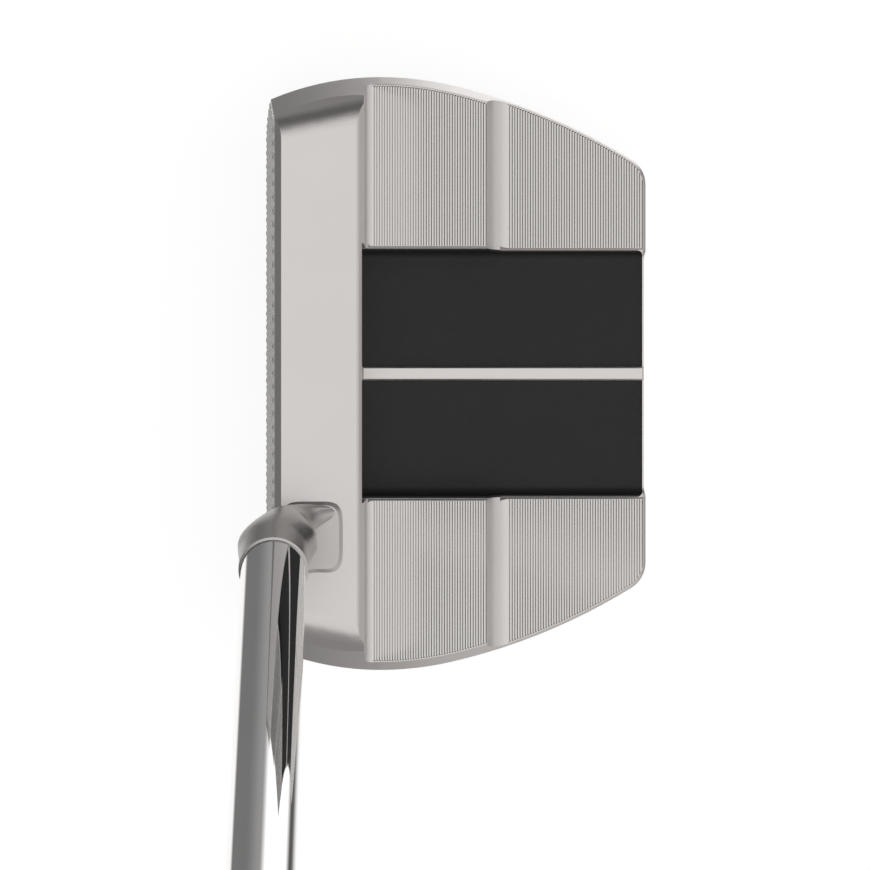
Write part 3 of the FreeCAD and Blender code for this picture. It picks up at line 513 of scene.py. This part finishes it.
def mill_face(surface, material):
    """Deep diamond milling on the face: rows of small pyramids standing on the face plane."""
    low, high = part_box("head_body")

    def face_y(x, z):
        hit = surface.ray_cast(Vector((x, low.y - FACE_PROBE_START, z)), Vector((0, 1, 0)))
        return hit[0].y if hit[0] else NO_SURFACE

    y_low = face_y(0, FACE_PROBE_LOW)
    lean = (face_y(0, FACE_PROBE_HIGH) - y_low) / (FACE_PROBE_HIGH - FACE_PROBE_LOW)

    def plane_y(z):
        return y_low + (z - FACE_PROBE_LOW) * lean

    def on_face(x, z):
        return abs(face_y(x, z) - plane_y(z)) < FLAT_TOLERANCE

    top = edge_from(lambda z: on_face(0, z), FACE_PROBE_HIGH, high.z) - FACE_TOP_GAP
    rows = round((top - FACE_FOOT) / DIAMOND_HIGH * DIAMOND_STEPS)
    step_x, step_z = DIAMOND_WIDE / DIAMOND_STEPS, (top - FACE_FOOT) / rows
    columns = 2 * round((high.x - low.x) / 2 / step_x)
    points, index = [], {}
    for i in range(columns + 1):
        for j in range(rows + 1):
            x = (i - columns / 2) * step_x
            z = FACE_FOOT + j * step_z
            if all(on_face(x + dx, z) for dx in (-FACE_BORDER, 0, FACE_BORDER)):
                fade = min(1.0, (top - z) / FACE_FADE)
                rise = fade * diamond(i / DIAMOND_STEPS, j / DIAMOND_STEPS)
                index[i, j] = len(points)
                points.append((x, plane_y(z) - FACE_PROUD - DIAMOND_DEPTH * rise, z))
    front = len(points)
    points += [(x, plane_y(z) + FACE_BACKING, z) for x, y, z in points]
    faces, edges = [], set()
    for i, j in index:
        ring = [index.get(key) for key in ((i, j), (i + 1, j), (i + 1, j + 1), (i, j + 1))]
        if None in ring:
            continue
        faces.append(tuple(ring))
        faces.append(tuple(k + front for k in reversed(ring)))
        for k in range(4):
            edge = (ring[k], ring[(k + 1) % 4])
            if edge[::-1] in edges:
                edges.remove(edge[::-1])
            else:
                edges.add(edge)
    faces += [(b, a, a + front, b + front) for a, b in sorted(edges)]
    return new_piece("face_milling", points, faces, material)


# ---------------------------------------------------------------- grip
GRIP_DIAMOND = 2.4 * MM
GRIP_DIAMONDS_ROUND = 30
GRIP_DIAMOND_STEPS = 4
GRIP_CUT_DEPTH = 0.30 * MM
GRIP_PLAIN_END = 7 * MM
GRIP_DIAMOND_CROWN = 1.8                    # over 1, so that the diamonds have flat tops
GRIP_END_INSET = 0.02 * MM
GRIP_PROBE_RADIUS = 30 * MM                 # outside the grip
GRIP_FLAT_EDGE = (-0.80, -0.62)             # where the diamonds fade out beside the thumb flat


def club_axis():
    """A point on the shaft's axis and the axis itself, from two tubes that lie on it."""
    low, high = (sum(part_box(name), Vector()) / 2 for name in ("hosel_epoxy", "grip_tape"))
    return low, (high - low).normalized()


def smooth_share(value, start, end):
    t = min(1.0, max(0.0, (value - start) / (end - start)))
    return t * t * (3 - 2 * t)


def moulded_grip(material):
    """The grip's real skin: diamonds moulded round its back and sides, a plain flat for the thumbs."""
    surface = surface_of("grip")
    foot, axis = club_axis()
    side = Vector((0, 1, 0))
    across = side.cross(axis) * -1
    along = [(v.co - foot).dot(axis) for v in node_object("grip").data.vertices]
    start, end = min(along) + GRIP_END_INSET, max(along) - GRIP_END_INSET
    rows = round((end - start) / GRIP_DIAMOND * GRIP_DIAMOND_STEPS)
    count = GRIP_DIAMONDS_ROUND * GRIP_DIAMOND_STEPS
    spokes = [2 * math.pi * k / count for k in range(count)]
    spokes = [across * math.cos(angle) + side * math.sin(angle) for angle in spokes]
    bore = surface.ray_cast(foot + axis * (start + end) / 2, side)[3]
    points, faces = [], []

    def ring(distance, radii):
        points.extend(foot + axis * distance + spoke * radius for spoke, radius in zip(spokes, radii))

    for row in range(rows + 1):
        distance = start + (end - start) * row / rows
        centre = foot + axis * distance
        ends = smooth_share(min(distance - start, end - distance), GRIP_PLAIN_END / 2, GRIP_PLAIN_END)
        radii = []
        for k, spoke in enumerate(spokes):
            gap = surface.ray_cast(centre + spoke * GRIP_PROBE_RADIUS, -spoke)[3]
            back = smooth_share(-spoke.dot(across), *GRIP_FLAT_EDGE)
            crown = diamond(k / GRIP_DIAMOND_STEPS, row / GRIP_DIAMOND_STEPS)
            rise = min(1.0, GRIP_DIAMOND_CROWN * crown)
            radii.append(GRIP_PROBE_RADIUS - gap - GRIP_CUT_DEPTH * (1 - rise) * ends * back)
        ring(distance, radii)
    ring(end, [bore] * count)
    ring(start, [bore] * count)
    rings = rows + 3
    for row in range(rings):
        here, there = row * count, (row + 1) % rings * count
        for k in range(count):
            after = (k + 1) % count
            faces.append((there + k, there + after, here + after, here + k))
    piece = new_piece("moulded_grip", points, faces, material, smooth=True)
    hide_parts("grip")
    return piece


# ---------------------------------------------------------------- build
make_camera()
make_world()
make_floor()
bpy.context.scene.view_settings.view_transform = "Standard"

head_metal = bare_metal("milled_metal", (0.80, 0.775, 0.765), 0.39)
# metal of the tool lines, with painted shade on their groove faces
line_metal = bare_metal("tool_line_metal", (0.84, 0.82, 0.80), 0.20, 0.0, shaded=True)
face_metal = bare_metal("milled_face_metal", (0.80, 0.80, 0.79), 0.26, 0.06, 0.25, scale=2600.0)
neck_metal = bare_metal("neck_metal", (0.62, 0.60, 0.59), 0.34)
for node in ("head_body", "sight_line_bar"):
    paint(node, head_metal)
paint("slant_neck", neck_metal)
paint("sole_plate", brushed_metal("brushed_sole_metal", (0.62, 0.61, 0.60), 0.30))
for node, metal in (("toe_sole_weight", "turned_weight_toe"), ("heel_sole_weight", "turned_weight_heel")):
    paint(node, turned_metal(metal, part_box(node)))
paint("sole_plate_screws", bare_metal("screw_metal", (0.30, 0.30, 0.31), 0.34, 0.003))
paint("shaft", chrome())
for node in ("toe_side_inlay", "heel_side_inlay"):
    paint(node, black_satin())
paint("grip_end_cap", moulded("cap_plastic", (0.020, 0.020, 0.021), 0.45, 3000.0, 0.004))
paint("hosel_epoxy", moulded("cured_epoxy", (0.42, 0.33, 0.16), 0.25, 900.0, 0.01))
paint("shaft_tip_plug", moulded("plug_rubber", (0.05, 0.05, 0.05), 0.7, 1800.0, 0.02))
paint("grip_tape", moulded("masking_tape", (0.62, 0.55, 0.40), 0.75, 1200.0, 0.03))

head_surface = surface_of("head_body")
mill_decks(head_surface, line_metal)
mill_face(head_surface, face_metal)
moulded_grip(rubber())
